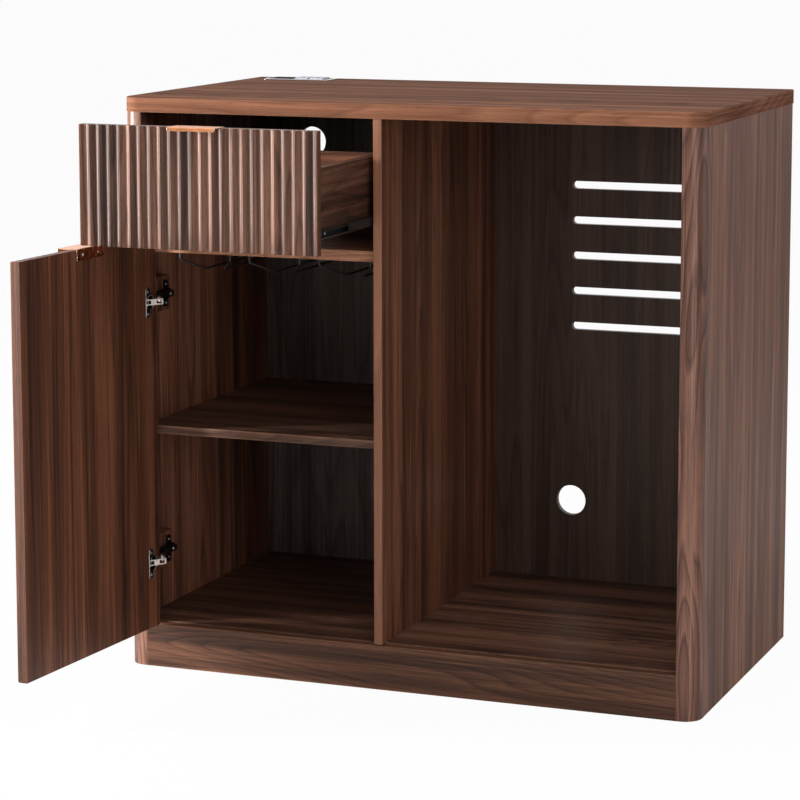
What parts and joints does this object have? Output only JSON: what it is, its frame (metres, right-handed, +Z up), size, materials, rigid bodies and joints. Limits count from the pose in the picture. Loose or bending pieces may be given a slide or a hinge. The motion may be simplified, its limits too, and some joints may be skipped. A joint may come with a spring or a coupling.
{
  "type": "bar cabinet",
  "caption": "Wood bar cabinet with a fluted door and drawer on a hinge and slides, a glass rack, shelves, an open fridge bay with air slots and a power outlet in the top.",
  "frame": {"origin": "on the floor, under the middle of the closed cabinet", "axes": "+X to the right seen from the front, +Y from the front to the back, +Z up"},
  "size_m": [1.016, 1.0046, 0.9846],
  "materials": {
    "wood": "satin stained veneer",
    "fluted_wood": "satin stained, fluted",
    "inner_wood": "satin stained veneer",
    "back_wood": "satin stained veneer",
    "copper_pull": "satin copper",
    "black_wire": "black powder coat",
    "black_slide": "black phosphate",
    "dark_steel": "nickel plated",
    "hinge_steel": "nickel plated",
    "screw_steel": "zinc plated",
    "outlet_chrome": "polished",
    "outlet_dark": "gloss black",
    "outlet_pale": "satin white"
  },
  "bodies": {
    "cabinet": {"top_panel": "wood", "side_panel_left": "wood", "side_panel_right": "wood", "corner_post_left": "wood", "corner_post_right": "wood", "bottom_panel": "inner_wood", "plinth_front": "wood", "plinth_back": "wood", "centre_bearer": "wood", "divider_panel": "wood", "back_panel_left": "back_wood", "back_panel_right": "back_wood", "drawer_shelf": "inner_wood", "adjustable_shelf": "inner_wood", "shelf_pins": "screw_steel", "slide_batten_left": "inner_wood", "rack_screws": "screw_steel", "hinge_mount_screws": "screw_steel", "outlet_frame": "outlet_chrome", "outlet_body": "outlet_dark", "outlet_sockets": "outlet_pale", "outlet_charger": "outlet_dark", "slide_outer_left": "black_slide", "slide_outer_right": "black_slide", "slide_case_screws": "screw_steel", "glass_rack_1": "black_wire", "glass_rack_2": "black_wire", "glass_rack_3": "black_wire", "hinge_block_lower": "inner_wood", "hinge_plate_lower": "dark_steel", "hinge_arm_lower": "hinge_steel", "hinge_block_upper": "inner_wood", "hinge_plate_upper": "dark_steel", "hinge_arm_upper": "hinge_steel"},
    "drawer": {"drawer_front": "fluted_wood", "drawer_side_left": "inner_wood", "drawer_side_right": "inner_wood", "drawer_back": "inner_wood", "drawer_base": "inner_wood", "drawer_cams": "screw_steel", "drawer_pull": "copper_pull", "drawer_pull_screws": "screw_steel", "slide_inner_left": "black_slide", "slide_inner_right": "black_slide", "slide_drawer_screws": "screw_steel"},
    "slide_middles": {"slide_middle_left": "black_slide", "slide_middle_right": "black_slide"},
    "door": {"door_panel": "fluted_wood", "door_pull": "copper_pull", "door_pull_screws": "screw_steel", "hinge_cup_screws": "screw_steel", "hinge_cup_lower": "hinge_steel", "hinge_cup_upper": "hinge_steel"},
    "hinge_swing_links": {"hinge_swing_link_lower": "hinge_steel", "hinge_swing_link_upper": "hinge_steel"},
    "hinge_carry_links": {"hinge_carry_link_lower": "hinge_steel", "hinge_carry_link_upper": "hinge_steel"}
  },
  "joints": [
    {"name": "drawer_slide", "type": "slide", "parent": "cabinet", "child": "drawer", "axis": [0, -1, 0], "range_m": [-0.229, 0.071]},
    {"name": "slide_middles_slide", "type": "slide", "parent": "cabinet", "child": "slide_middles", "axis": [0, -1, 0], "range_m": [-0.1146, 0.0356]},
    {"name": "door_hinge", "type": "hinge", "parent": "cabinet", "child": "door", "pos_m": [-0.4665, -0.2985, 0.413], "axis": [0, 0, -1], "range_deg": [-94.4, 3.6]},
    {"name": "hinge_swing", "type": "hinge", "parent": "cabinet", "child": "hinge_swing_links", "pos_m": [-0.4495, -0.2736, 0.413], "axis": [0, 0, -1], "range_deg": [-94.5, 3.7]},
    {"name": "hinge_carry", "type": "hinge", "parent": "hinge_swing_links", "child": "hinge_carry_links", "pos_m": [-0.43056, -0.29863, 0.413], "axis": [0, 0, -1], "range_deg": [-3.7, 94.5]}
  ],
  "couplings": [
    {"joint": "slide_middles_slide", "follows": "drawer_slide", "ratio": 0.5},
    {"joint": "hinge_swing", "follows": "door_hinge", "ratio": 1},
    {"joint": "hinge_carry", "follows": "door_hinge", "ratio": -1}
  ]
}
